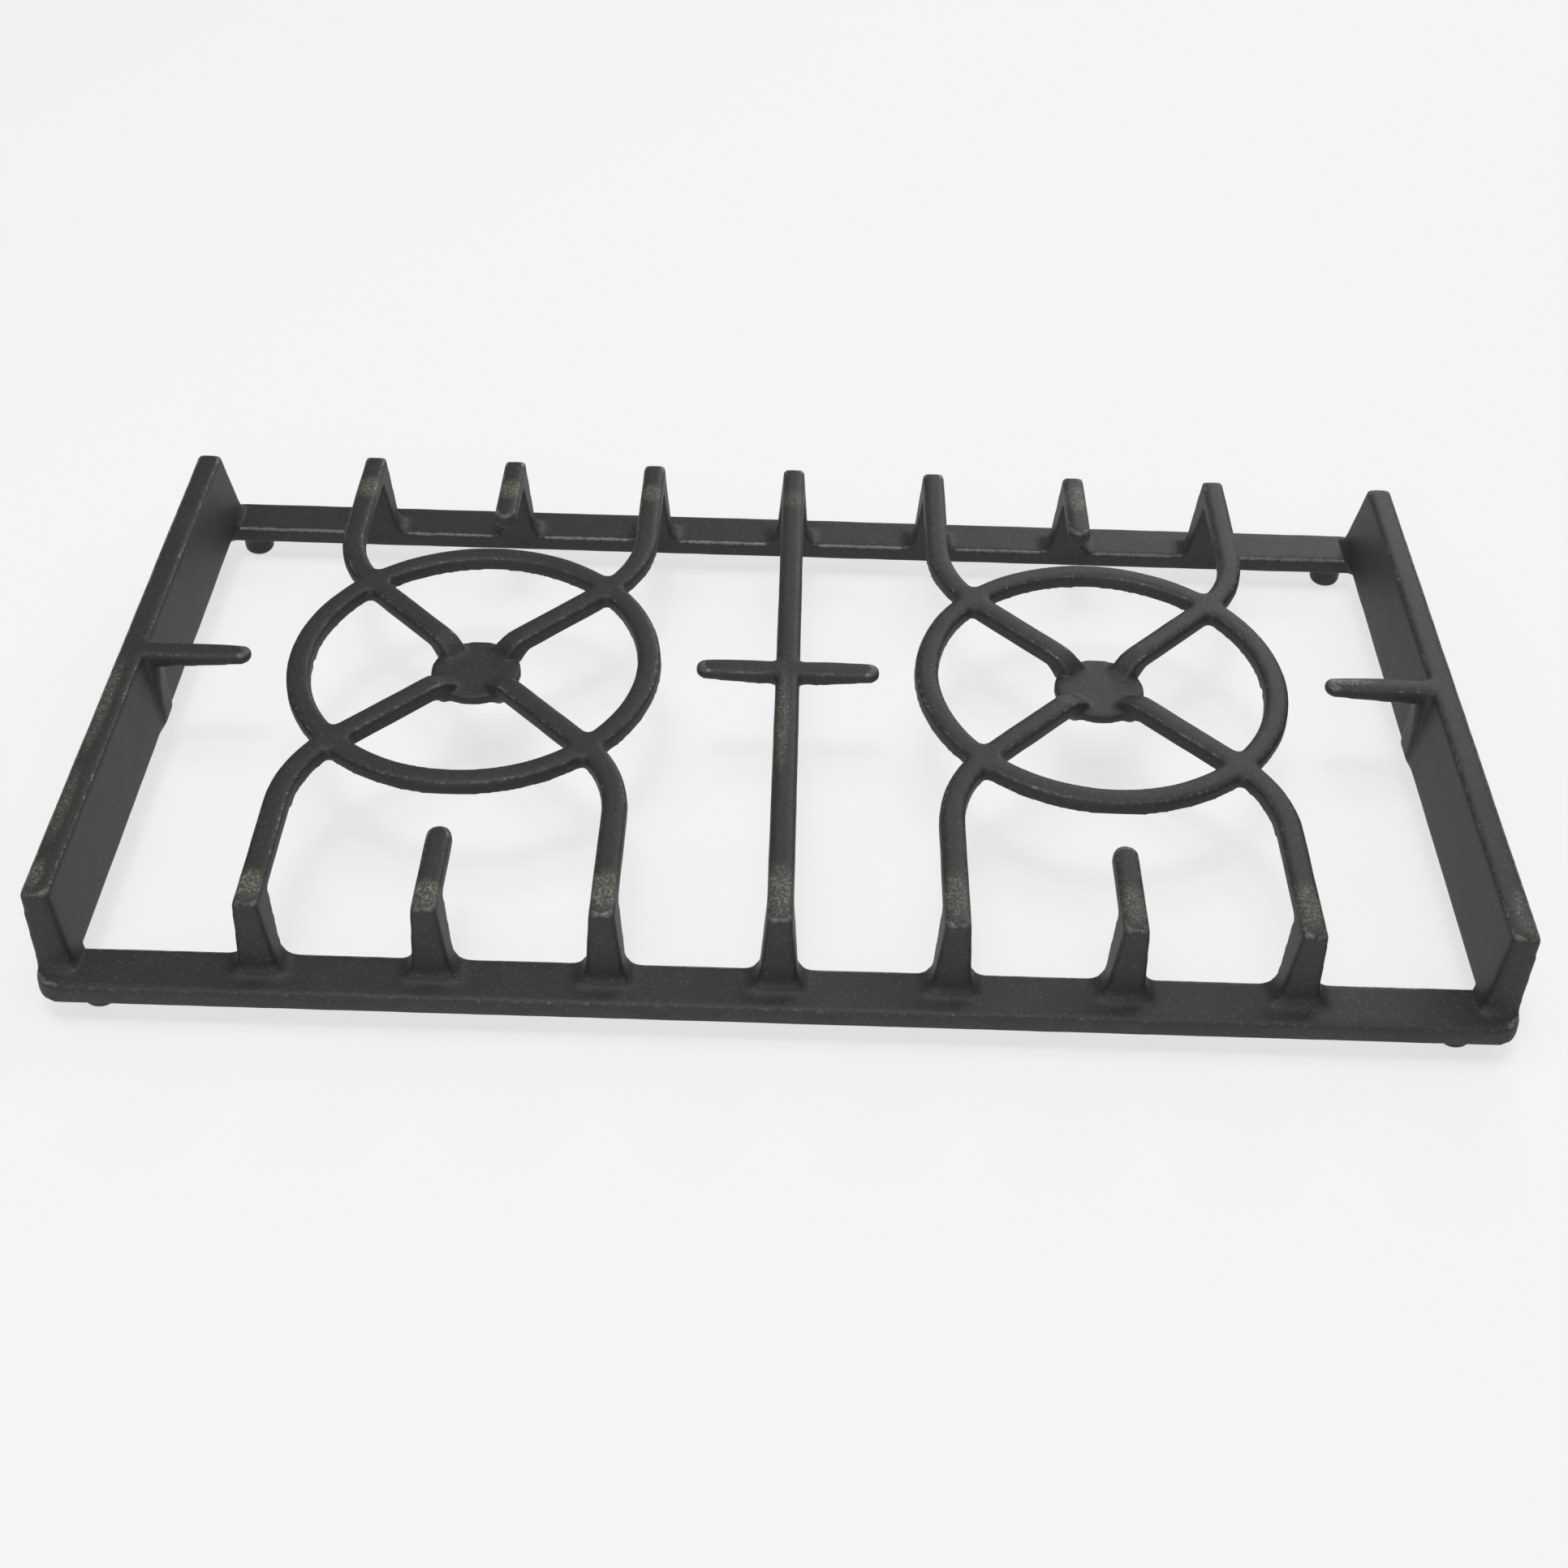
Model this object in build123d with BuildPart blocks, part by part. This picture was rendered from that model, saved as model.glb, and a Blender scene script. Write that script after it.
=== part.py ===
"""Cast-iron pan support of a gas hob, for two burners side by side.

One casting: two flat bars and two tall side walls make the frame. Posts on the bars carry a level grid
of fingers, with a ring and a lowered hub over each burner. The long side lies along X, the frame stands
on Z = 0 with its four feet, and the pans rest on the top plane.
"""

import os
from math import hypot, radians, tan

from build123d import *

# Frame
length = 471.0  # over the side walls, at the top of the bars
depth = 263.0  # over the front and back bars, at their top
bar_width = 17.2
bar_height = 6.8
corner_radius = 8.5  # outer corners in plan
inner_corner_radius = 3.0  # corners of the opening inside the frame
bar_edge_chamfer = 0.8
draft_angle = 4.5  # degrees, on the outer sides of the bars and the sides of posts, ribs and fingers

# Feet
foot_height = 9.0
foot_diameter = 10.4
foot_edge_chamfer = 1.6
foot_inset = 17.0  # from the end of the frame to the foot's axis
foot_setback = 10.0  # from the frame's front or back to that axis

# Side walls
wall_thickness = 7.1  # at the underside of the frame
wall_inner_lean = 1.2  # how far the inner face leans in at the top
wall_outer_lean = 0.4  # how far the outer face leans in, from the bars to the top
wall_front_setback = 8.6  # from the frame's front to the wall's end, at the bars
wall_front_lean = 2.4  # how far that end leans in at the top
wall_back_setback = 4.0
wall_back_lean = 7.6
wall_edge_radius = 1.2  # upright inner edges at its ends
wall_root_radius = 3.0

# Posts on the bars
rise = 31.0  # from the bars to the plane of the pans
post_thickness = 8.2  # front to back, at the bar
post_outer_lean = 0.5
post_gusset = 4.5  # how far the inner face leans in below the finger
post_throat_radius = 14.0
post_front_radius = 3.4  # root of the outer face on the bar
post_side_radius = 6.0  # roots of the two sides on the bar

# Grid of fingers, rings and spokes
pitch = 55.2  # between neighbouring posts
finger_width = 6.8
grid_depth = 5.5
top_edge_chamfer = 0.8
spoke_turn = 45.0  # degrees between an arm and the spoke it runs on as
ring_radius = 61.4  # to the middle of the ring's band
ring_width = 6.6
bend_inset = 2.4  # from the middle of the ring's band in to the end of the arm's bend
crossing_radius = 2.8
stub_length = 37.4

# Short fingers: the cross on the centre bar, and one on each wall
cross_reach = 31.0  # from the middle of the centre bar to the tip
side_gap = 15.6  # from the outside of the ring to the tip of the finger on the wall
short_tip_width = 5.2
short_tip_depth = 3.6
short_tip_radius = 2.4
short_root_radius = 2.2
rib_reach = 5.0  # of the rib below a side finger
rib_throat_radius = 4.0

# Hubs
hub_diameter = 30.4
hub_drop = 5.4  # from the plane of the pans to the hub's face
hub_thickness = 4.0
hub_root_radius = 3.0  # between the hub's rim and the spokes, in plan
dip_outer_radius = 21.5  # where the spokes start to dip
dip_inner_radius = 10.5  # where they reach the hub's face

# Levels and places that follow from these
bar_top = foot_height + bar_height
top = bar_top + rise
under = top - grid_depth
hub_face = top - hub_drop
hub_under = hub_face - hub_thickness
hub_radius = hub_diameter / 2
lean = tan(radians(draft_angle))
fillet_room = 1.5  # length of the face beside a fillet, as a share of its radius
bar_inner = depth / 2 - bar_width
post_face = bar_inner + post_thickness
finger_end = post_face - post_outer_lean
finger_root = finger_end - post_thickness / 2  # fingers stop inside their posts
wall_inner = length / 2 - wall_thickness
wall_middle = length / 2 - wall_thickness / 2
wall_top_inner = wall_inner - wall_inner_lean
wall_front = wall_front_setback - depth / 2
wall_back = depth / 2 - wall_back_setback
inner_slope = wall_inner_lean / (top - foot_height)
outer_slope = wall_outer_lean / rise
front_slope = wall_front_lean / rise
back_slope = wall_back_lean / rise
sunk = bar_top - bar_height / 2  # how deep posts and walls reach into the bars
post_half_base = finger_width / 2 + rise * lean
grid_reach = hypot(pitch, depth / 2)  # farther out than any arm
arm_corner = pitch / tan(radians(spoke_turn))  # where the lines of arm and spoke meet
bend_start = hypot(pitch, arm_corner) - ring_radius + bend_inset
arm_bend_radius = bend_start / tan(radians(spoke_turn / 2))
ring_place = 2 * pitch
side_tip = ring_place + ring_radius + ring_width / 2 + side_gap
ring_places = [(-ring_place, 0), (ring_place, 0)]
post_places = [(step * pitch, 0) for step in range(-3, 4)]

# Bars and the foot of the walls: one flat frame with drafted outer sides
with BuildPart() as base:
    with BuildSketch(Plane.XY.offset(bar_top)):
        RectangleRounded(length, depth, corner_radius)
    extrude(amount=-bar_height)
    draft(base.faces().filter_by(Axis.Z, reverse=True), Plane.XY.offset(bar_top), draft_angle)
    chamfer(base.faces().sort_by(Axis.Z)[-1].edges(), bar_edge_chamfer)
    with BuildSketch(Plane.XY.offset(bar_top)):
        RectangleRounded(2 * wall_inner, 2 * bar_inner, inner_corner_radius)
    extrude(amount=-bar_height, mode=Mode.SUBTRACT)

# One foot, on Z = 0
with BuildPart() as foot:
    with BuildSketch():
        Circle(foot_diameter / 2)
    extrude(amount=foot_height)
    chamfer(foot.edges().sort_by(Axis.Z)[0], foot_edge_chamfer)

# The side wall on +X: its section, cut to the leaning ends and to the outline of the frame
with BuildPart() as wall:
    with BuildSketch(Plane.XZ):
        with BuildLine():
            Polyline(
                (wall_inner, foot_height),
                (length / 2 + bar_height * outer_slope, foot_height),
                (length / 2 - wall_outer_lean, top),
                (wall_top_inner, top),
                close=True,
            )
        make_face()
    extrude(amount=depth / 2, both=True)
    with BuildSketch(Plane.YZ):
        with BuildLine():
            Polyline(
                (wall_front - bar_height * front_slope, foot_height),
                (wall_back + bar_height * back_slope, foot_height),
                (wall_back - wall_back_lean, top),
                (wall_front + wall_front_lean, top),
                close=True,
            )
        make_face()
    extrude(amount=length, both=True, mode=Mode.INTERSECT)
    with BuildSketch():
        RectangleRounded(length, depth, corner_radius)
    extrude(amount=top, mode=Mode.INTERSECT)
    inner_ends = [(wall_inner, y, bar_top + rise / 2) for y in (wall_front, wall_back)]
    fillet([wall.edges().sort_by_distance(place)[0] for place in inner_ends], wall_edge_radius)

# The wall's foot on the bars, with a rounded root inside the wall and at both ends
with BuildPart() as wall_foot:
    with BuildSketch(Plane.XZ) as foot_section:
        with BuildLine():
            root_room = fillet_room * wall_root_radius
            root_inner = wall_inner - bar_height * inner_slope
            Polyline(
                (length / 2, sunk),
                (length / 2, bar_top + root_room),
                (root_inner - root_room * inner_slope, bar_top + root_room),
                (root_inner, bar_top),
                (root_inner - root_room, bar_top),
                (root_inner - root_room, sunk),
                close=True,
            )
        make_face()
        fillet(foot_section.vertices().sort_by_distance((root_inner, bar_top))[0], wall_root_radius)
    extrude(amount=depth / 2, both=True)
    with BuildSketch(Plane.YZ) as foot_profile:
        with BuildLine():
            Polyline(
                (wall_front - root_room, sunk),
                (wall_back + root_room, sunk),
                (wall_back + root_room, bar_top),
                (wall_back, bar_top),
                (wall_back - root_room * back_slope, bar_top + root_room),
                (wall_front + root_room * front_slope, bar_top + root_room),
                (wall_front, bar_top),
                (wall_front - root_room, bar_top),
                close=True,
            )
        make_face()
        corners = foot_profile.vertices()
        roots = [corners.sort_by_distance((y, bar_top))[0] for y in (wall_front, wall_back)]
        fillet(roots, wall_root_radius)
    extrude(amount=length, both=True, mode=Mode.INTERSECT)
    with BuildSketch():
        RectangleRounded(
            length - 2 * bar_edge_chamfer, depth - 2 * bar_edge_chamfer, corner_radius - bar_edge_chamfer
        )
        RectangleRounded(2 * wall_inner, 2 * bar_inner, inner_corner_radius, mode=Mode.SUBTRACT)
    extrude(amount=top, mode=Mode.INTERSECT)

# One post, on the back bar at X = 0: its side profile, cut to a front profile that flares into the bar
with BuildPart() as post:
    with BuildSketch(Plane.YZ) as side_profile:
        with BuildLine():
            ledge = post_face + fillet_room * post_front_radius
            throat = bar_inner - post_gusset - fillet_room * post_throat_radius
            Polyline(
                (bar_inner, sunk),
                (ledge, sunk),
                (ledge, bar_top),
                (post_face, bar_top),
                (finger_end, top),
                (throat, top),
                (throat, under),
                (bar_inner - post_gusset, under),
                (bar_inner, bar_top),
                close=True,
            )
        make_face()
        corners = side_profile.vertices()
        fillet(corners.sort_by_distance((post_face, bar_top))[0], post_front_radius)
        fillet(corners.sort_by_distance((bar_inner - post_gusset, under))[0], post_throat_radius)
    extrude(amount=pitch / 2, both=True)
    with BuildSketch(Plane.XZ) as front_profile:
        with BuildLine():
            spread = post_half_base + fillet_room * post_side_radius
            Polyline(
                (-spread, sunk),
                (spread, sunk),
                (spread, bar_top),
                (post_half_base, bar_top),
                (finger_width / 2, top),
                (-finger_width / 2, top),
                (-post_half_base, bar_top),
                (-spread, bar_top),
                close=True,
            )
        make_face()
        corners = front_profile.vertices()
        roots = [corners.sort_by_distance((side * post_half_base, bar_top))[0] for side in (-1, 1)]
        fillet(roots, post_side_radius)
    extrude(amount=depth, both=True, mode=Mode.INTERSECT)

# The grid over one burner, about its own centre: a ring, and four arms that run on as spokes,
# as deep as the hub where they meet
with BuildPart() as burner:
    with BuildSketch(Plane.XY.offset(top)) as burner_plan:
        with BuildLine():
            FilletPolyline((pitch, finger_root), (pitch, arm_corner), (0, 0), radius=arm_bend_radius)
        trace(line_width=finger_width)
        mirror(about=Plane.YZ)
        mirror(about=Plane.XZ)
        with BuildSketch(mode=Mode.PRIVATE) as ring:
            Circle(ring_radius + ring_width / 2)
            Circle(ring_radius - ring_width / 2, mode=Mode.SUBTRACT)
        add(ring.sketch)
        crossings = [v for v in burner_plan.vertices() if abs(hypot(v.X, v.Y) - ring_radius) < ring_width]
        fillet(crossings, crossing_radius)
    extrude(amount=hub_under - top)
    draft(burner.faces().filter_by(Axis.Z, reverse=True), Plane.XY.offset(top), draft_angle)
    with BuildSketch(Plane.XZ):
        with BuildLine():
            Polyline(
                (hub_radius, hub_under),
                (dip_outer_radius, under),
                (grid_reach, under),
                (grid_reach, hub_under),
                close=True,
            )
        make_face()
    revolve(axis=Axis.Z, mode=Mode.SUBTRACT)

# The stub finger at the back of one burner, between two arms
with BuildPart() as stub:
    with BuildSketch(Plane.XY.offset(top)):
        tip_centre = finger_end - stub_length + finger_width / 2
        with Locations((0, (finger_root + tip_centre) / 2)):
            Rectangle(finger_width, finger_root - tip_centre)
        with Locations((0, tip_centre)):
            Circle(finger_width / 2)
    extrude(amount=-grid_depth)
    draft(stub.faces().filter_by(Axis.Z, reverse=True), Plane.XY.offset(top), draft_angle)

# The centre bar with its two cross fingers, whose undersides rise towards the tips
with BuildPart() as centre:
    with BuildSketch(Plane.XY.offset(top)) as centre_plan:
        with BuildLine():
            Polyline(
                (0, finger_width / 2),
                (cross_reach, short_tip_width / 2),
                (cross_reach, -short_tip_width / 2),
                (0, -finger_width / 2),
                close=True,
            )
        make_face()
        fillet(centre_plan.vertices().group_by(Axis.X)[-1], short_tip_radius)
        mirror(about=Plane.YZ)
        Rectangle(finger_width, 2 * finger_root)
        inner_corners = [v for v in centre_plan.vertices() if hypot(v.X, v.Y) < finger_width]
        fillet(inner_corners, short_root_radius)
    extrude(amount=-grid_depth)
    draft(centre.faces().filter_by(Axis.Z, reverse=True), Plane.XY.offset(top), draft_angle)
    with BuildSketch(Plane.XZ):
        with BuildLine():
            rise_start = finger_width / 2 + short_root_radius
            Polyline(
                (rise_start, under),
                (cross_reach + short_tip_width, under),
                (cross_reach + short_tip_width, top - short_tip_depth),
                (cross_reach, top - short_tip_depth),
                close=True,
            )
        make_face()
        mirror(about=Plane.YZ)
    extrude(amount=finger_width, both=True, mode=Mode.SUBTRACT)

# The finger on the +X wall
with BuildPart() as side_finger:
    with BuildSketch(Plane.XY.offset(top)) as side_plan:
        with BuildLine():
            Polyline(
                (wall_middle, finger_width / 2),
                (side_tip, short_tip_width / 2),
                (side_tip, -short_tip_width / 2),
                (wall_middle, -finger_width / 2),
                close=True,
            )
        make_face()
        fillet(side_plan.vertices().group_by(Axis.X)[0], short_tip_radius)
    extrude(amount=-grid_depth)
    draft(side_finger.faces().filter_by(Axis.Z, reverse=True), Plane.XY.offset(top), draft_angle)
    with BuildSketch(Plane.XZ):
        with BuildLine():
            Polyline(
                (wall_top_inner - rib_reach - rib_throat_radius, under),
                (side_tip, top - short_tip_depth),
                (side_tip - short_tip_width, top - short_tip_depth),
                (side_tip - short_tip_width, under),
                close=True,
            )
        make_face()
    extrude(amount=finger_width, both=True, mode=Mode.SUBTRACT)

# The rib that carries it down the wall
with BuildPart() as rib:
    with BuildSketch(Plane.XZ) as rib_profile:
        with BuildLine():
            rib_throat = wall_top_inner - rib_reach - fillet_room * rib_throat_radius
            Polyline(
                (wall_middle, foot_height),
                (wall_inner, foot_height),
                (wall_top_inner - rib_reach, under),
                (rib_throat, under),
                (rib_throat, under + grid_depth / 2),
                (wall_middle, under + grid_depth / 2),
                close=True,
            )
        make_face()
        throat_corner = rib_profile.vertices().sort_by_distance((wall_top_inner - rib_reach, under))[0]
        fillet(throat_corner, rib_throat_radius)
    extrude(amount=pitch / 2, both=True)
    with BuildSketch(Plane.YZ):
        with BuildLine():
            rib_half_base = short_tip_width / 2 + (top - foot_height) * lean
            Polyline(
                (-rib_half_base, foot_height),
                (rib_half_base, foot_height),
                (short_tip_width / 2, top),
                (-short_tip_width / 2, top),
                close=True,
            )
        make_face()
    extrude(amount=length, both=True, mode=Mode.INTERSECT)

# The whole side on +X
with BuildPart() as flank:
    add(wall.part)
    add(wall_foot.part)
    add(side_finger.part)
    wall_face = flank.faces().sort_by_distance((wall_top_inner, pitch, under))[0]
    finger_foot = wall_face.edges().sort_by_distance((wall_top_inner, 0, under + grid_depth / 2))[:3]
    fillet(finger_foot.sort_by(Axis.Z)[1:], short_root_radius)
    add(rib.part)

# A hub below the crossing of the spokes, rounded into them in plan
with BuildPart() as hub:
    with BuildSketch(Plane.XY.offset(hub_face)) as hub_plan:
        Circle(hub_radius)
        for turn in (spoke_turn, -spoke_turn):
            Rectangle(finger_width, 2 * (hub_radius + hub_root_radius), rotation=turn)
        rim_corners = [v for v in hub_plan.vertices() if hypot(v.X, v.Y) < hub_radius + hub_root_radius / 2]
        fillet(rim_corners, hub_root_radius)
    extrude(amount=-hub_thickness)

# The hollow that lets the spokes dip to the hub's face
with BuildPart() as dip:
    with BuildSketch(Plane.XZ):
        with BuildLine():
            TangentArc((dip_outer_radius, top), (dip_inner_radius, hub_face), tangent=(-1, 0))
            Polyline(
                (dip_inner_radius, hub_face),
                (0, hub_face),
                (0, top + hub_drop),
                (dip_outer_radius, top + hub_drop),
                (dip_outer_radius, top),
            )
        make_face()
    revolve(axis=Axis.Z)

# The whole casting
with BuildPart() as pan_support:
    add(base.part)
    add(flank.part)
    mirror(flank.part, about=Plane.YZ)
    with GridLocations(length - 2 * foot_inset, depth - 2 * foot_setback, 2, 2):
        add(foot.part)
    with Locations(*post_places):
        add(post.part)
        add(post.part.mirror(Plane.XZ))
    add(centre.part)
    with Locations(*ring_places):
        add(burner.part)
        add(stub.part)
        add(stub.part.mirror(Plane.XZ))
    chamfer(pan_support.faces().filter_by(Axis.Z).group_by(Axis.Z)[-1].edges(), top_edge_chamfer)
    with Locations(*ring_places):
        add(dip.part, mode=Mode.SUBTRACT)
        add(hub.part)

pan_support.part.label = "pan_support"
os.makedirs("parts", exist_ok=True)
export_step(pan_support.part, "parts/pan_support.step")
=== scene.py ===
import math

import bmesh
import bpy
from mathutils import Matrix, Vector, kdtree, noise


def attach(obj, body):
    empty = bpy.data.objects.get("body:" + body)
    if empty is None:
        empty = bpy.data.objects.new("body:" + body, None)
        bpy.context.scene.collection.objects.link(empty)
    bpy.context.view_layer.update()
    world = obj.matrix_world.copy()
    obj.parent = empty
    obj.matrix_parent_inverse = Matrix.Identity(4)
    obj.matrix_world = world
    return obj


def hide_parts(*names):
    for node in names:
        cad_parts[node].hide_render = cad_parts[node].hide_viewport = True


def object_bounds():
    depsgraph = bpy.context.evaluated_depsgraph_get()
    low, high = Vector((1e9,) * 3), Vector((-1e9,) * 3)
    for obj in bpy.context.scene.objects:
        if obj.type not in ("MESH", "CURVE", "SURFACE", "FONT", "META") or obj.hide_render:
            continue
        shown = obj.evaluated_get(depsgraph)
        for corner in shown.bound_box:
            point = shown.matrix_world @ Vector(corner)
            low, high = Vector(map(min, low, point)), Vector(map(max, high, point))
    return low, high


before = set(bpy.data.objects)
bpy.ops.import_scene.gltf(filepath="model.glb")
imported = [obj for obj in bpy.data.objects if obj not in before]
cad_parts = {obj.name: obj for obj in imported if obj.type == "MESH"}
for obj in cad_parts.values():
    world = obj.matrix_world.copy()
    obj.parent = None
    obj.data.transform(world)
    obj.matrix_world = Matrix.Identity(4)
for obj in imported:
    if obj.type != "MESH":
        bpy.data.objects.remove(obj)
cadBox = [list(corner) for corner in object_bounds()]
print("frame loaded, nodes:", sorted(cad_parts))

# the photograph's view: place in metres, angles in degrees, lens for a 36 mm sensor
viewSettings = {
    "place": (0.00105, -0.55137, 0.50551),
    "azimuth": -0.132,
    "elevation": 43.075,
    "roll": -1.625,
    "lens": 46.692,
    "sensor": 36.0,
    "clip": (0.01, 50.0),
}


def makeCamera():
    azimuth, elevation, roll = (math.radians(viewSettings[key]) for key in ("azimuth", "elevation", "roll"))
    ahead = Vector((
        math.sin(azimuth) * math.cos(elevation),
        math.cos(azimuth) * math.cos(elevation),
        -math.sin(elevation),
    ))
    level = Vector((math.cos(azimuth), -math.sin(azimuth), 0.0))
    down = ahead.cross(level)
    right = level * math.cos(roll) + down * math.sin(roll)
    up = level * math.sin(roll) - down * math.cos(roll)
    turn = Matrix((right, up, -ahead)).transposed().to_4x4()

    camData = bpy.data.cameras.new("photoCamera")
    camData.lens = viewSettings["lens"]
    camData.sensor_width = viewSettings["sensor"]
    camData.clip_start, camData.clip_end = viewSettings["clip"]
    cam = bpy.data.objects.new("photoCamera", camData)
    cam.matrix_world = Matrix.Translation(viewSettings["place"]) @ turn
    bpy.context.scene.collection.objects.link(cam)
    bpy.context.scene.camera = cam
    print("camera placed")


# node helpers
def addNode(tree, kind, at, **values):
    node = tree.nodes.new(kind)
    node.location = at
    for key, value in values.items():
        setattr(node, key, value)
    return node


def setInputs(node, values):
    for key, value in values.items():
        node.inputs[key].default_value = value


def feed(tree, node, slot, value):
    if isinstance(value, (int, float, tuple)):
        node.inputs[slot].default_value = value
    else:
        tree.links.new(value, node.inputs[slot])


def newGroup(name, ins, outs):
    tree = bpy.data.node_groups.new(name, "ShaderNodeTree")
    for label, kind, value in ins:
        socket = tree.interface.new_socket(name=label, in_out="INPUT", socket_type=kind)
        if value is not None:
            socket.default_value = value
    for label, kind in outs:
        tree.interface.new_socket(name=label, in_out="OUTPUT", socket_type=kind)
    groupIn = addNode(tree, "NodeGroupInput", (-1200, 0))
    groupOut = addNode(tree, "NodeGroupOutput", (900, 0))
    return tree, groupIn, groupOut


def mathNode(tree, operation, a, b, at, c=None, clamp=False):
    node = addNode(tree, "ShaderNodeMath", at, operation=operation, use_clamp=clamp)
    feed(tree, node, 0, a)
    feed(tree, node, 1, b)
    if c is not None:
        feed(tree, node, 2, c)
    return node.outputs[0]


def vectorNode(tree, operation, a, b, at):
    node = addNode(tree, "ShaderNodeVectorMath", at, operation=operation)
    feed(tree, node, 0, a)
    if b is not None:
        feed(tree, node, 1, b)
    return node.outputs["Value" if operation == "LENGTH" else "Vector"]


def smoothStep(tree, value, limits, at):
    node = addNode(tree, "ShaderNodeMapRange", at, interpolation_type="SMOOTHSTEP")
    tree.links.new(value, node.inputs["Value"])
    setInputs(node, {"From Min": limits[0], "From Max": limits[1]})
    return node.outputs["Result"]


def noiseNode(tree, vector, kind, at):
    scale, detail, rough = kind
    node = addNode(tree, "ShaderNodeTexNoise", at, noise_dimensions="3D")
    setInputs(node, {"Scale": scale, "Detail": detail, "Roughness": rough})
    tree.links.new(vector, node.inputs["Vector"])
    return node.outputs["Fac"]


def cellNode(tree, vector, scale, at):
    node = addNode(tree, "ShaderNodeTexVoronoi", at, feature="F1")
    setInputs(node, {"Scale": scale, "Randomness": 1.0})
    tree.links.new(vector, node.inputs["Vector"])
    return node


def mixColour(tree, factor, a, b, at):
    node = addNode(tree, "ShaderNodeMix", at, data_type="RGBA")
    feed(tree, node, "Factor", factor)
    feed(tree, node, "A", a)
    feed(tree, node, "B", b)
    return node.outputs["Result"]


# sandy skin of the enamel: its peel, its pin holes, its pale grit and its cloudy tone
# (a noise is given as scale, detail and roughness)
grainSettings = {
    "peel": (1500.0, 3.0, 0.6),
    "peelShare": 0.7,
    "swell": (210.0, 2.0, 0.5),
    "swellShare": 0.8,
    "pinScale": 850.0,
    "pinEdge": (0.34, 0.10),
    "pinPlaces": (330.0, 2.0, 0.6),
    "pinSparse": (0.52, 0.68),
    "pinShare": 0.4,
    "gritScale": 1100.0,
    "gritEdge": (0.42, 0.16),
    "gritRare": (0.52, 1.0),
    "cloud": (42.0, 4.0, 0.6),
}


def makeGrainGroup():
    cfg = grainSettings
    tree, groupIn, groupOut = newGroup(
        "enamelGrain",
        [("Vector", "NodeSocketVector", None)],
        [("Height", "NodeSocketFloat"), ("Grit", "NodeSocketFloat"), ("Cloud", "NodeSocketFloat")],
    )
    vector = groupIn.outputs["Vector"]
    peel = noiseNode(tree, vector, cfg["peel"], (-900, 300))
    peel = mathNode(tree, "MULTIPLY", peel, cfg["peelShare"], (-650, 300))
    swell = noiseNode(tree, vector, cfg["swell"], (-900, 60))
    swell = mathNode(tree, "MULTIPLY", swell, cfg["swellShare"], (-650, 60))
    height = mathNode(tree, "ADD", peel, swell, (-400, 180))

    cell = cellNode(tree, vector, cfg["pinScale"], (-900, -180))
    pins = smoothStep(tree, cell.outputs["Distance"], cfg["pinEdge"], (-650, -180))
    sparse = noiseNode(tree, vector, cfg["pinPlaces"], (-900, -420))
    sparse = smoothStep(tree, sparse, cfg["pinSparse"], (-650, -420))
    pins = mathNode(tree, "MULTIPLY", pins, sparse, (-400, -260))
    pins = mathNode(tree, "MULTIPLY", pins, cfg["pinShare"], (-200, -200))
    height = mathNode(tree, "SUBTRACT", height, pins, (0, 120))

    grains = cellNode(tree, vector, cfg["gritScale"], (-900, -660))
    dots = smoothStep(tree, grains.outputs["Distance"], cfg["gritEdge"], (-650, -660))
    pick = addNode(tree, "ShaderNodeSeparateColor", (-650, -860))
    tree.links.new(grains.outputs["Color"], pick.inputs["Color"])
    rare = smoothStep(tree, pick.outputs["Red"], cfg["gritRare"], (-400, -860))
    grit = mathNode(tree, "MULTIPLY", dots, rare, (-200, -700))

    cloud = noiseNode(tree, vector, cfg["cloud"], (-900, -1060))
    for name, value in (("Height", height), ("Grit", grit), ("Cloud", cloud)):
        tree.links.new(value, groupOut.inputs[name])
    return tree


# a rubbed place: soft oval round a centre
rubSettings = {"fade": (1.0, 0.35)}


def makeRubGroup():
    tree, groupIn, groupOut = newGroup(
        "rubbedPlace",
        [
            ("Vector", "NodeSocketVector", None),
            ("Centre", "NodeSocketVector", None),
            ("Reach", "NodeSocketVector", (0.01, 0.01, 0.01)),
            ("Amount", "NodeSocketFloat", 1.0),
        ],
        [("Mask", "NodeSocketFloat")],
    )
    away = vectorNode(tree, "SUBTRACT", groupIn.outputs["Vector"], groupIn.outputs["Centre"], (-900, 100))
    away = vectorNode(tree, "DIVIDE", away, groupIn.outputs["Reach"], (-650, 100))
    away = vectorNode(tree, "LENGTH", away, None, (-400, 100))
    near = smoothStep(tree, away, rubSettings["fade"], (-150, 100))
    mask = mathNode(tree, "MULTIPLY", near, groupIn.outputs["Amount"], (200, 60))
    tree.links.new(mask, groupOut.inputs["Mask"])
    return tree


# edges made pale for worn enamel and for a painted highlight: what stands proud at one level, ragged along
# its length
wearHighlightSettings = {
    "levelFade": (1.0, 0.5),
    "ragged": (420.0, 5.0, 0.75),
    "raggedShare": 0.9,
    "proud": (0.64, 0.86),
    "corner": (0.74, 0.90),
    "cornerShare": 0.6,  # the most proud points, where edges meet, are made less pale
}


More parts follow.
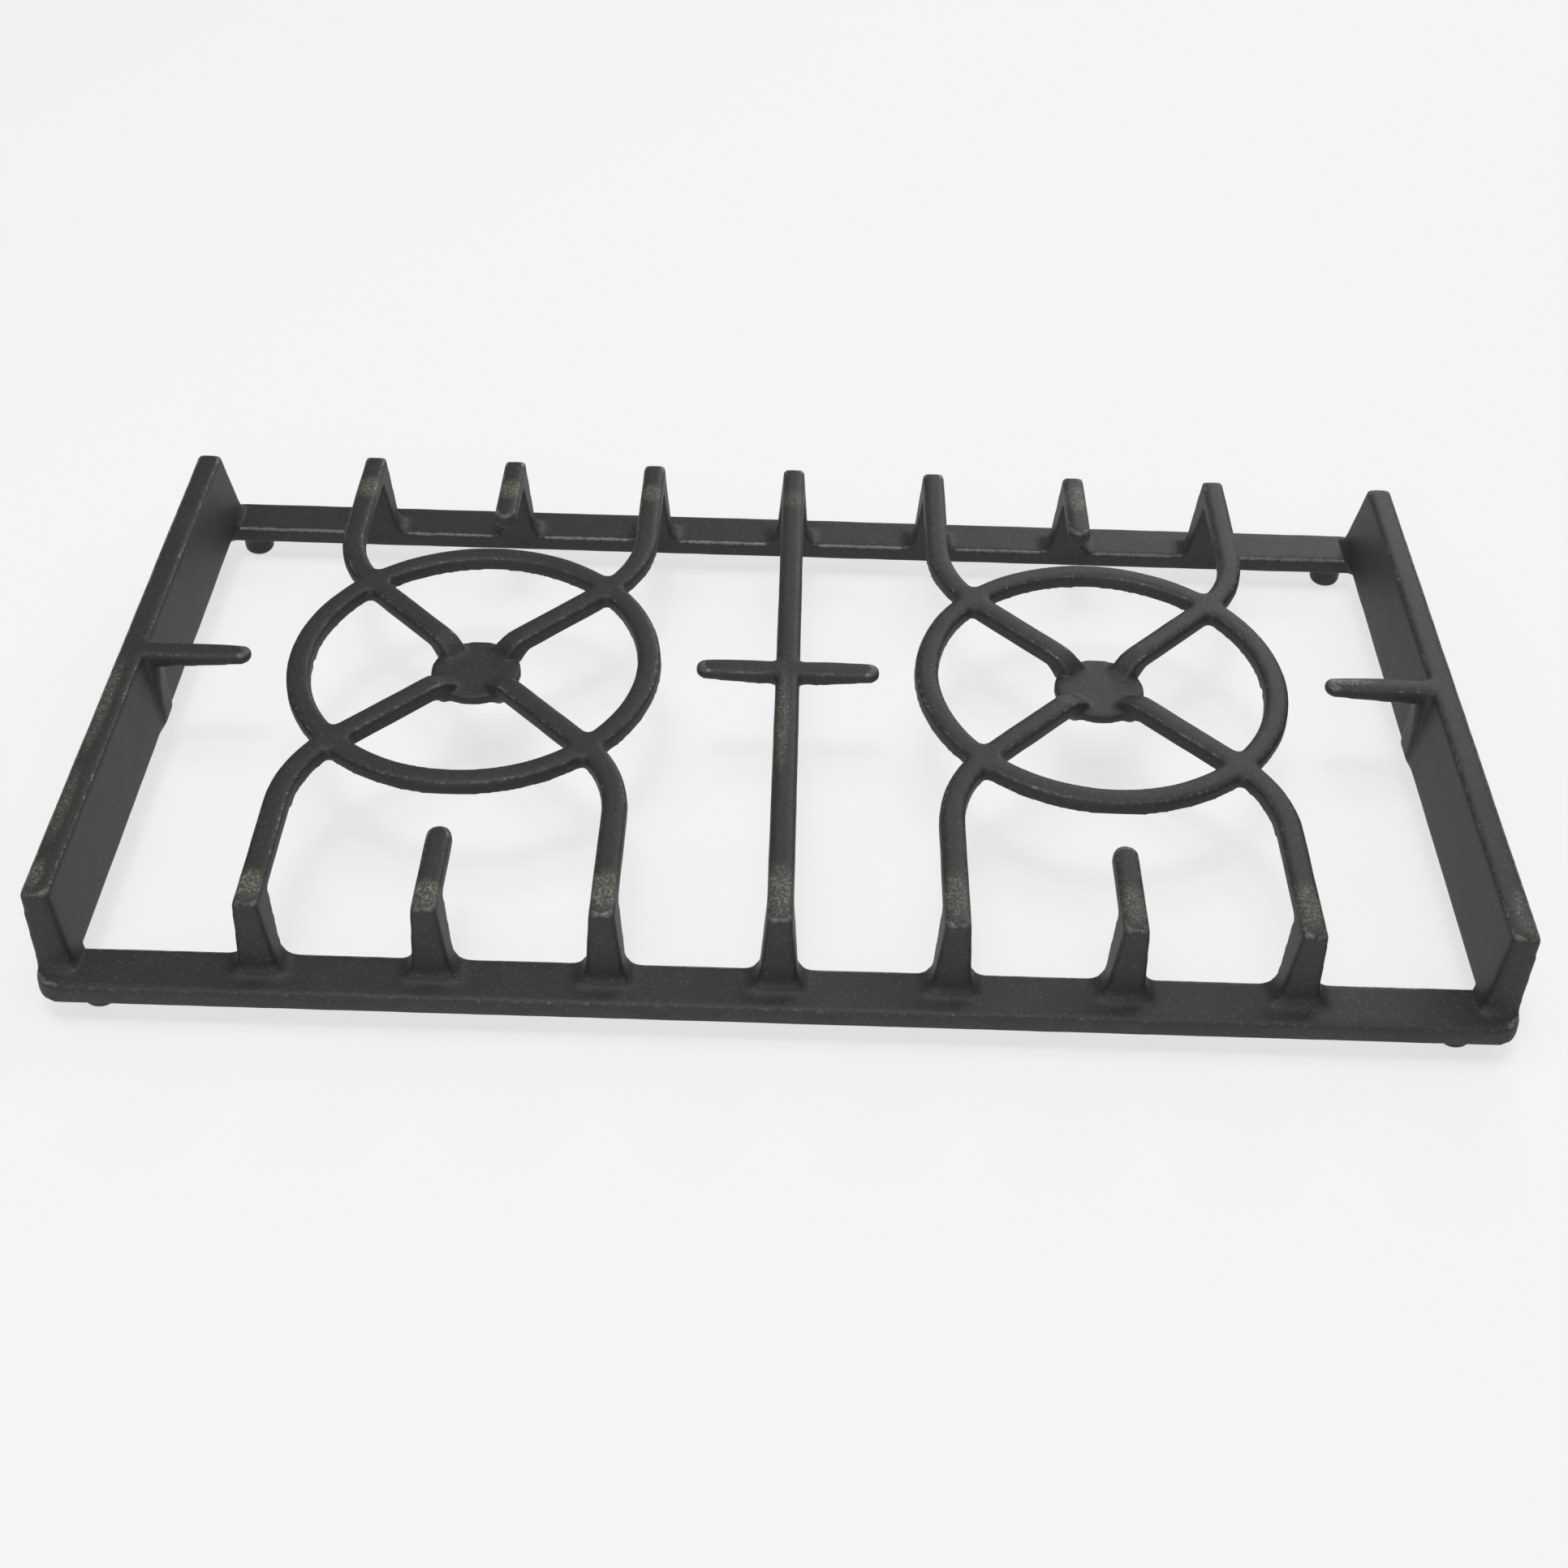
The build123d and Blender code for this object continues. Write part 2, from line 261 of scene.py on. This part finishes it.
def makeWearHighlightGroup():
    cfg = wearHighlightSettings
    tree, groupIn, groupOut = newGroup(
        "wornEdgeHighlight",
        [
            ("Vector", "NodeSocketVector", None),
            ("Crown", "NodeSocketFloat", 0.0),
            ("Level", "NodeSocketFloat", 0.0),
            ("Band", "NodeSocketFloat", 0.001),
            ("Lift", "NodeSocketFloat", 0.0),
        ],
        [("Mask", "NodeSocketFloat")],
    )
    place = addNode(tree, "ShaderNodeSeparateXYZ", (-900, 200))
    tree.links.new(groupIn.outputs["Vector"], place.inputs["Vector"])
    off = mathNode(tree, "SUBTRACT", place.outputs["Z"], groupIn.outputs["Level"], (-650, 200))
    off = mathNode(tree, "ABSOLUTE", off, 0.0, (-450, 200))
    off = mathNode(tree, "DIVIDE", off, groupIn.outputs["Band"], (-250, 200))
    level = smoothStep(tree, off, cfg["levelFade"], (-50, 200))

    ragged = noiseNode(tree, groupIn.outputs["Vector"], cfg["ragged"], (-900, -200))
    share = cfg["raggedShare"]
    shift = mathNode(tree, "MULTIPLY_ADD", ragged, share, (-650, -200), c=-share / 2)
    crown = mathNode(tree, "ADD", groupIn.outputs["Crown"], shift, (-400, 0))
    crown = mathNode(tree, "ADD", crown, groupIn.outputs["Lift"], (-250, 0))
    proud = smoothStep(tree, crown, cfg["proud"], (-100, -50))
    corner = smoothStep(tree, groupIn.outputs["Crown"], cfg["corner"], (-100, -300))
    corner = mathNode(tree, "MULTIPLY", corner, cfg["cornerShare"], (80, -300))
    proud = mathNode(tree, "SUBTRACT", proud, corner, (120, -50), clamp=True)
    tree.links.new(mathNode(tree, "MULTIPLY", proud, level, (250, 50)), groupOut.inputs["Mask"])
    return tree


# colours of the coat, and the places that pans and hands have rubbed, in metres
enamelSettings = {
    "deep": (0.019, 0.019, 0.018, 1.0),
    "pale": (0.029, 0.029, 0.027, 1.0),
    "grit": (0.135, 0.134, 0.122, 1.0),
    "gritShare": 0.45,
    # the pale edge colour below is partly worn enamel and partly a painted highlight
    "edgeWearAndHighlight": (0.125, 0.124, 0.116, 1.0),
    "rubbed": (0.26, 0.252, 0.205, 1.0),
    "specular": 0.36,
    "roughness": 0.54,
    "edgeRoughness": 0.26,
    "edges": [{"level": 0.0466, "lift": 0.0}, {"level": 0.0155, "lift": 0.06}],
    "edgeBand": 0.0011,
    "flecks": (1000.0, 4.0, 0.8),
    "fleckEdge": (0.47, 0.64),
    "haze": 0.12,  # what the rubbing leaves between the flecks
    "bump": {"Strength": 0.5, "Distance": 0.0003},
    "rubs": [
        {"centre": (-0.1664, -0.1135, 0.0468), "reach": (0.006, 0.0085, 0.003), "amount": 1.0},
        {"centre": (-0.1104, -0.1150, 0.0468), "reach": (0.007, 0.0075, 0.003), "amount": 0.9},
        {"centre": (-0.0552, -0.1115, 0.0468), "reach": (0.007, 0.0110, 0.003), "amount": 0.9},
        {"centre": (-0.0005, -0.1095, 0.0468), "reach": (0.007, 0.0150, 0.003), "amount": 0.75},
        {"centre": (0.0552, -0.1100, 0.0468), "reach": (0.007, 0.0140, 0.003), "amount": 0.6},
        {"centre": (0.1104, -0.1110, 0.0468), "reach": (0.007, 0.0110, 0.003), "amount": 0.45},
        {"centre": (0.1652, -0.1090, 0.0468), "reach": (0.008, 0.0130, 0.003), "amount": 0.5},
        {"centre": (-0.1645, 0.1015, 0.0468), "reach": (0.006, 0.0090, 0.003), "amount": 0.75},
        {"centre": (-0.1104, 0.1025, 0.0468), "reach": (0.006, 0.0080, 0.003), "amount": 0.85},
        {"centre": (-0.0552, 0.1030, 0.0468), "reach": (0.005, 0.0075, 0.003), "amount": 0.6},
        {"centre": (0.0000, 0.1020, 0.0468), "reach": (0.006, 0.0080, 0.003), "amount": 0.4},
        {"centre": (0.1104, 0.1080, 0.0468), "reach": (0.007, 0.0120, 0.003), "amount": 0.5},
        {"centre": (-0.2328, -0.0300, 0.0468), "reach": (0.003, 0.0330, 0.003), "amount": 0.55},
        {"centre": (-0.2328, -0.0800, 0.0468), "reach": (0.003, 0.0230, 0.003), "amount": 0.5},
        {"centre": (-0.2326, -0.1120, 0.0468), "reach": (0.003, 0.0090, 0.003), "amount": 0.7},
        {"centre": (-0.0012, -0.0280, 0.0468), "reach": (0.003, 0.0330, 0.003), "amount": 0.55},
        {"centre": (0.2326, -0.1100, 0.0468), "reach": (0.004, 0.0140, 0.003), "amount": 0.45},
        {"centre": (0.1980, 0.0010, 0.0468), "reach": (0.012, 0.0025, 0.003), "amount": 0.6},
    ],
}


def makeEnamel():
    cfg = enamelSettings
    mat = bpy.data.materials.new("enamelledIron")
    mat.use_nodes = True
    tree = mat.node_tree
    shader = tree.nodes["Principled BSDF"]
    coords = addNode(tree, "ShaderNodeTexCoord", (-2400, 0))
    spot = coords.outputs["Object"]
    grain = addNode(tree, "ShaderNodeGroup", (-2000, 400), node_tree=makeGrainGroup())
    tree.links.new(spot, grain.inputs["Vector"])

    # worn enamel and a painted highlight along the upper edges of the grid and of the bars
    crown = addNode(tree, "ShaderNodeAttribute", (-2400, -300), attribute_name="crown")
    wearHighlightTree = makeWearHighlightGroup()
    edgeWearAndHighlight = []
    for row, edge in enumerate(cfg["edges"]):
        place = addNode(tree, "ShaderNodeGroup", (-2000, -100 - 200 * row), node_tree=wearHighlightTree)
        setInputs(place, {"Level": edge["level"], "Band": cfg["edgeBand"], "Lift": edge["lift"]})
        tree.links.new(spot, place.inputs["Vector"])
        tree.links.new(crown.outputs["Fac"], place.inputs["Crown"])
        edgeWearAndHighlight.append(place.outputs["Mask"])
    edgeWearAndHighlight = mathNode(tree, "MAXIMUM", edgeWearAndHighlight[0], edgeWearAndHighlight[1], (-1700, -150))

    # rubbed places on the tops, broken into flecks
    rubTree = makeRubGroup()
    rubbed = None
    for row, rub in enumerate(cfg["rubs"]):
        place = addNode(tree, "ShaderNodeGroup", (-2000, -600 - 170 * row), node_tree=rubTree)
        setInputs(place, {"Centre": rub["centre"], "Reach": rub["reach"], "Amount": rub["amount"]})
        tree.links.new(spot, place.inputs["Vector"])
        mask = place.outputs["Mask"]
        if rubbed is None:
            rubbed = mask
        else:
            rubbed = mathNode(tree, "MAXIMUM", rubbed, mask, (-1700, -600 - 170 * row))
    flecks = noiseNode(tree, spot, cfg["flecks"], (-1700, 120))
    flecks = smoothStep(tree, flecks, cfg["fleckEdge"], (-1450, 120))
    flecks = mathNode(tree, "MULTIPLY_ADD", flecks, 1.0 - cfg["haze"], (-1250, 120), c=cfg["haze"])
    rubbed = mathNode(tree, "MULTIPLY", rubbed, flecks, (-1000, -300), clamp=True)

    coat = mixColour(tree, grain.outputs["Cloud"], cfg["deep"], cfg["pale"], (-1000, 500))
    grit = mathNode(tree, "MULTIPLY", grain.outputs["Grit"], cfg["gritShare"], (-1000, 300))
    coat = mixColour(tree, grit, coat, cfg["grit"], (-750, 500))
    coat = mixColour(tree, rubbed, coat, cfg["rubbed"], (-500, 450))
    # pale edges: partly worn enamel, partly a painted highlight
    coat = mixColour(tree, edgeWearAndHighlight, coat, cfg["edgeWearAndHighlight"], (-250, 400))
    tree.links.new(coat, shader.inputs["Base Color"])

    gloss = addNode(tree, "ShaderNodeMapRange", (-500, 100))
    setInputs(gloss, {"To Min": cfg["roughness"], "To Max": cfg["edgeRoughness"]})
    tree.links.new(mathNode(tree, "MAXIMUM", edgeWearAndHighlight, rubbed, (-750, 60)), gloss.inputs["Value"])
    tree.links.new(gloss.outputs["Result"], shader.inputs["Roughness"])
    shader.inputs["Specular IOR Level"].default_value = cfg["specular"]

    bump = addNode(tree, "ShaderNodeBump", (-300, -200))
    setInputs(bump, cfg["bump"])
    tree.links.new(grain.outputs["Height"], bump.inputs["Height"])
    tree.links.new(bump.outputs["Normal"], shader.inputs["Normal"])
    print("enamel made,", len(cfg["rubs"]), "rubbed places")
    return mat


# the casting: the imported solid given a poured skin, with soft edges and roots, in metres
castingSettings = {
    "weld": 2e-6,
    "hubPlace": 0.1104,
    "hubUnder": 0.0376,
    "hubEnd": (0.0174, 0.0190),  # from the hub's middle
    "hubRunOut": 0.0394,
    "voxel": 0.0007,
    "wallFoot": 0.0032,  # how far a side wall's inner face comes in, down to the top of the bars
    "wallLevels": (0.0462, 0.0158, 0.0090),  # the wall's top, where it is widest, and its underside
    "wallFades": (0.2215, 0.2278, 0.2300, 0.2345),  # going out: none, all, still all, none
    "softSteps": 6,
    "softFactor": 0.5,
    "rootSteps": 16,
    "rootDepth": -0.10,
    "blendSteps": 5,
    "blendDepth": 0.05,
    "crownSteps": 14,
    "crownFull": 0.00045,  # how far a sharp edge stands proud of its smoothed skin
    "triangles": 186000,
    "spread": 0.0006,  # sides moved out, for the coat and for what the softening takes
    "shortSpread": 0.0006,  # more of it on the short fingers, below as well
    "shortRows": (0.008, 0.036),  # half their breadth, and a level below them
    # going out: none, all, the gap's two ends, all, none
    "shortFades": (0.005, 0.014, 0.036, 0.185, 0.210, 0.224),
    "waveHeight": 0.00010,
    "waveLength": 0.010,
}


def soften(bm, verts, steps):
    factor = castingSettings["softFactor"]
    allAxes = {"use_axis_x": True, "use_axis_y": True, "use_axis_z": True}
    for step in range(steps):
        bmesh.ops.smooth_vert(bm, verts=verts, factor=factor, **allAxes)


def ease(value, low, high):
    share = min(max((value - low) / (high - low), 0.0), 1.0)
    return share * share * (3.0 - 2.0 * share)


# the hubs run out smoothly under the spokes
def runOutHubs(bm):
    inner, outer = castingSettings["hubEnd"]
    for vert in bm.verts:
        reach = math.hypot(abs(vert.co.x) - castingSettings["hubPlace"], vert.co.y)
        if vert.co.z < castingSettings["hubUnder"] and inner < reach < outer:
            vert.co.z = castingSettings["hubRunOut"]


# the side walls' inner faces come in from the top down, and draw back below the bars' top
def thickenWalls(bm):
    top, widest, under = castingSettings["wallLevels"]
    start, full, keep, end = castingSettings["wallFades"]
    for vert in bm.verts:
        side, level = abs(vert.co.x), vert.co.z
        if side > start and under < level < top:
            share = ease(side, start, full) * (1.0 - ease(side, keep, end))
            share *= (top - level) / (top - widest) if level > widest else (level - under) / (widest - under)
            vert.co.x -= math.copysign(castingSettings["wallFoot"] * share, vert.co.x)


# how much a point belongs to a short finger, on the centre bar or on a wall
def shortShare(place):
    halfWidth, under = castingSettings["shortRows"]
    crossStart, crossFull, crossEnd, sideEnd, sideFull, sideStart = castingSettings["shortFades"]
    side = abs(place.x)
    if abs(place.y) > halfWidth or place.z < under or crossEnd < side < sideEnd:
        return 0.0
    return ease(side, crossStart, crossFull) if side < crossEnd else 1.0 - ease(side, sideFull, sideStart)


def applied(obj):
    graph = bpy.context.evaluated_depsgraph_get()
    return bpy.data.meshes.new_from_object(obj.evaluated_get(graph))


def makeMould():
    bm = bmesh.new()
    bm.from_mesh(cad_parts["pan_support"].data)
    bmesh.ops.remove_doubles(bm, verts=bm.verts, dist=castingSettings["weld"])
    runOutHubs(bm)
    mesh = bpy.data.meshes.new("mould")
    bm.to_mesh(mesh)
    bm.free()
    mould = bpy.data.objects.new("mould", mesh)
    bpy.context.scene.collection.objects.link(mould)
    return mould


# an even skin over the mould, kept in its mesh; gives each point's height over its surroundings
def pourSkin(mould):
    cfg = castingSettings
    skin = mould.modifiers.new("skin", "REMESH")
    skin.mode = "VOXEL"
    skin.voxel_size = cfg["voxel"]
    bm = bmesh.new()
    bm.from_mesh(applied(mould))
    thickenWalls(bm)
    soften(bm, bm.verts, cfg["softSteps"])
    bm.normal_update()
    proud = [vert.co.copy() for vert in bm.verts]
    facing = [vert.normal.copy() for vert in bm.verts]
    soften(bm, bm.verts, cfg["crownSteps"])
    tree = kdtree.KDTree(len(proud))
    crowns = []
    for vert, place, normal in zip(bm.verts, proud, facing):
        crowns.append((place - vert.co).dot(normal) / cfg["crownFull"])
        out = Vector((normal.x, normal.y, 0.0)) * cfg["spread"]
        out += Vector((normal.x, normal.y, min(normal.z, 0.0))) * cfg["shortSpread"] * shortShare(place)
        vert.co = place + out + normal * cfg["waveHeight"] * noise.noise(place / cfg["waveLength"])
        for axis in (0, 1):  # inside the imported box
            vert.co[axis] = min(max(vert.co[axis], cadBox[0][axis]), cadBox[1][axis])
        tree.insert(vert.co, vert.index)
    tree.balance()
    for depth, steps in (("rootDepth", "rootSteps"), ("blendDepth", "blendSteps")):
        soften(bm, [vert for vert in bm.verts if crowns[vert.index] < cfg[depth]], cfg[steps])
    bm.to_mesh(mould.data)
    bm.free()
    mould.modifiers.remove(skin)
    print("skin poured,", len(crowns), "points")
    return crowns, tree


def makeCasting():
    mould = makeMould()
    crowns, tree = pourSkin(mould)

    # fewer triangles on the flats, and the height of each edge kept on the points
    fewer = mould.modifiers.new("fewer", "DECIMATE")
    fewer.ratio = castingSettings["triangles"] / (2 * len(mould.data.polygons))  # the skin is all quads
    bm = bmesh.new()
    bm.from_mesh(applied(mould))
    bmesh.ops.triangulate(bm, faces=bm.faces)
    crown = bm.verts.layers.float.new("crown")
    for vert in bm.verts:
        vert[crown] = crowns[tree.find(vert.co)[1]]
    for face in bm.faces:
        face.smooth = True
    mesh = bpy.data.meshes.new("casting")
    bm.to_mesh(mesh)
    bm.free()
    bpy.data.objects.remove(mould)
    mesh.materials.append(makeEnamel())
    casting = bpy.data.objects.new("casting", mesh)
    bpy.context.scene.collection.objects.link(casting)
    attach(casting, "root")
    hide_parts("pan_support")
    print("casting made,", len(mesh.polygons), "triangles")


# pale sweep, soft boxes and a dim room
stageSettings = {
    "size": 12.0,
    "tone": 0.92,
    "roughness": 0.9,
    "specular": 0.2,
    "paper": 0.92,
    "paperShare": 0.74,
}
lampSettings = {
    "overhead": {"place": (-0.1, -0.05, 1.9), "size": 1.1, "power": 16.0},
    "spark": {"place": (-0.15, -0.35, 1.8), "size": 0.25, "power": 5.0},
    "key": {"place": (0.85, 1.95, 1.15), "size": 1.2, "power": 18.0},
    "fill": {"place": (-0.3, -2.2, 0.8), "size": 1.6, "power": 16.0},
}
skySettings = {"tone": (1.0, 1.0, 1.0, 1.0), "strength": 0.22}


def makeFloorPaper():
    cfg = stageSettings
    mat = bpy.data.materials.new("paleFloor")
    mat.use_nodes = True
    tree = mat.node_tree
    shader = tree.nodes["Principled BSDF"]
    tone, paper = cfg["tone"], cfg["paper"]
    setInputs(shader, {
        "Base Color": (tone, tone, tone, 1.0),
        "Roughness": cfg["roughness"],
        "Specular IOR Level": cfg["specular"],
    })
    # lit paper, seen by the camera and in reflections, so that the shadows stay faint
    glow = addNode(tree, "ShaderNodeEmission", (0, -300))
    glow.inputs["Color"].default_value = (paper, paper, paper, 1.0)
    path = addNode(tree, "ShaderNodeLightPath", (-500, 500))
    seen = path.outputs["Is Camera Ray"]
    for column, ray in enumerate(("Is Glossy Ray", "Is Transmission Ray")):
        seen = mathNode(tree, "MAXIMUM", seen, path.outputs[ray], (-250 + 200 * column, 500))
    share = mathNode(tree, "MULTIPLY", seen, cfg["paperShare"], (150, 500))
    blend = addNode(tree, "ShaderNodeMixShader", (350, 100))
    tree.links.new(share, blend.inputs[0])
    tree.links.new(shader.outputs[0], blend.inputs[1])
    tree.links.new(glow.outputs[0], blend.inputs[2])
    tree.links.new(blend.outputs[0], tree.nodes["Material Output"].inputs["Surface"])
    return mat


def makeStage():
    mesh = bpy.data.meshes.new("floor")
    bm = bmesh.new()
    bmesh.ops.create_grid(bm, x_segments=1, y_segments=1, size=stageSettings["size"] / 2)
    bm.to_mesh(mesh)
    bm.free()
    mesh.materials.append(makeFloorPaper())
    floor = bpy.data.objects.new("floor", mesh)
    bpy.context.scene.collection.objects.link(floor)

    for name, lamp in lampSettings.items():
        data = bpy.data.lights.new(name, "AREA")
        data.size = lamp["size"]
        data.energy = lamp["power"]
        obj = bpy.data.objects.new(name, data)
        obj.location = lamp["place"]
        obj.rotation_euler = (-Vector(lamp["place"])).to_track_quat("-Z", "Y").to_euler()
        bpy.context.scene.collection.objects.link(obj)

    world = bpy.data.worlds.new("studio")
    world.use_nodes = True
    sky = world.node_tree.nodes["Background"]
    setInputs(sky, {"Color": skySettings["tone"], "Strength": skySettings["strength"]})
    bpy.context.scene.world = world
    bpy.context.scene.view_settings.view_transform = "Standard"
    print("stage lit")


makeCamera()
makeCasting()
makeStage()
